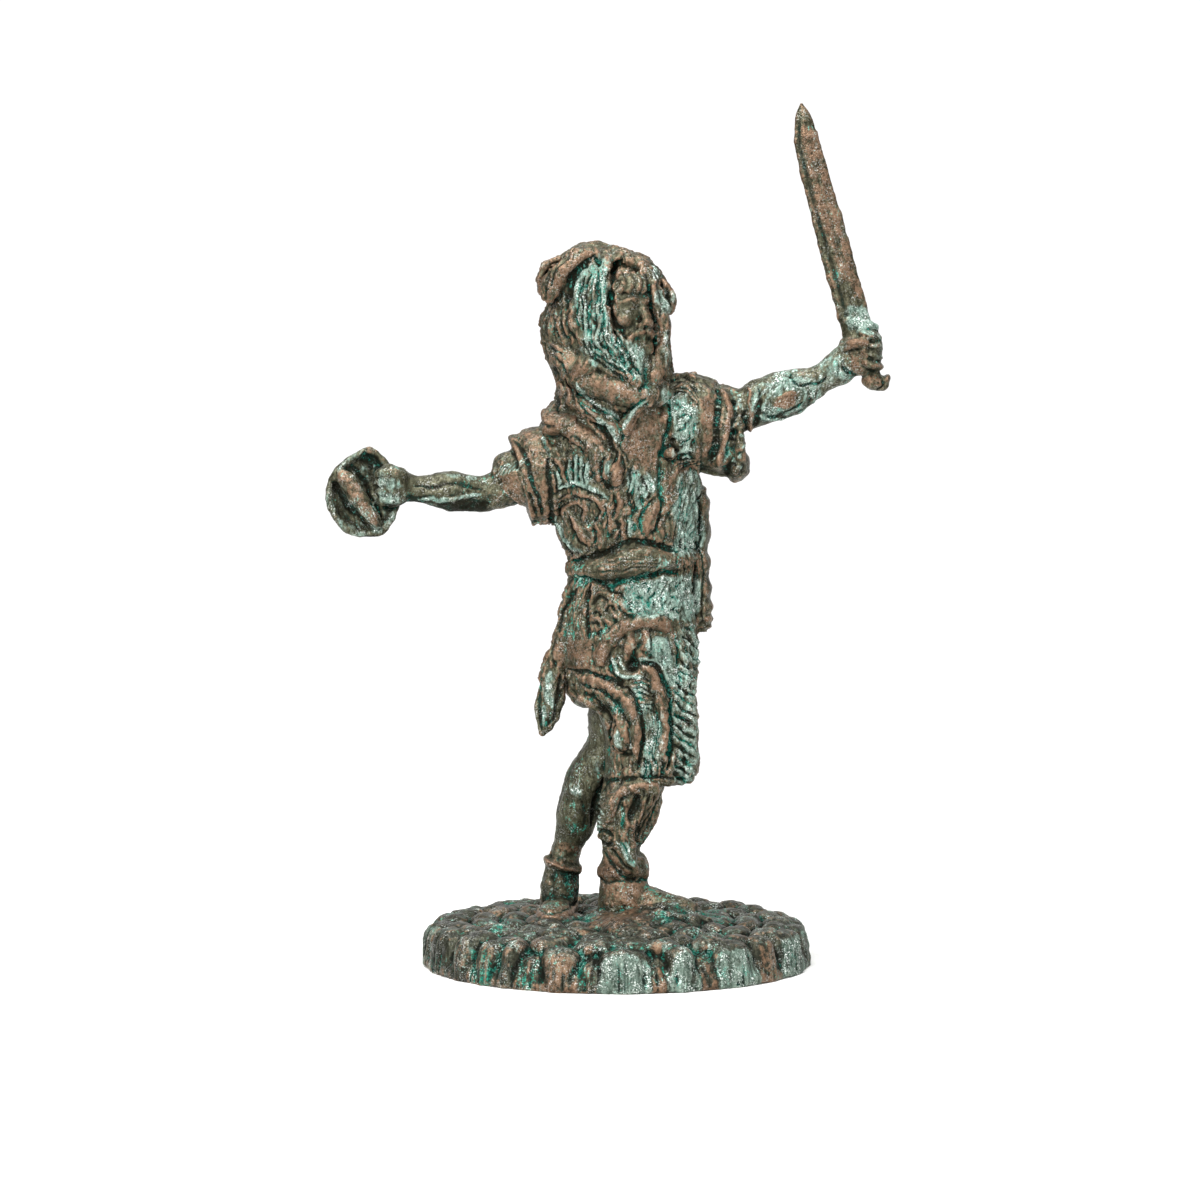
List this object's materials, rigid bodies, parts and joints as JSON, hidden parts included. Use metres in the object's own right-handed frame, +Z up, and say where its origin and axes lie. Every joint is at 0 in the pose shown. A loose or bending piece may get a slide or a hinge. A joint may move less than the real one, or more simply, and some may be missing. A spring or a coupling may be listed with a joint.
{
  "type": "bronze roman soldier figure",
  "caption": "Small cast bronze soldier in an animal-skin hood and belted tunic, sword raised and small oval shield held out, standing on a round cobbled base.",
  "frame": {"origin": "centre of the base's underside, on the floor", "axes": "+Z up, +X to the right of a viewer who stands in front of the figure, +Y away from that viewer"},
  "size_m": [0.0695, 0.048, 0.1064],
  "materials": {
    "figure_bronze": "cast bronze, warm brown on the high places, green and pale mint patina in the hollows",
    "base_bronze": "cast bronze, dark with green patina between the cobbles and file marks on the rim"
  },
  "bodies": {
    "root": {"soldier_figure": "figure_bronze", "round_base": "base_bronze"}
  },
  "joints": []
}
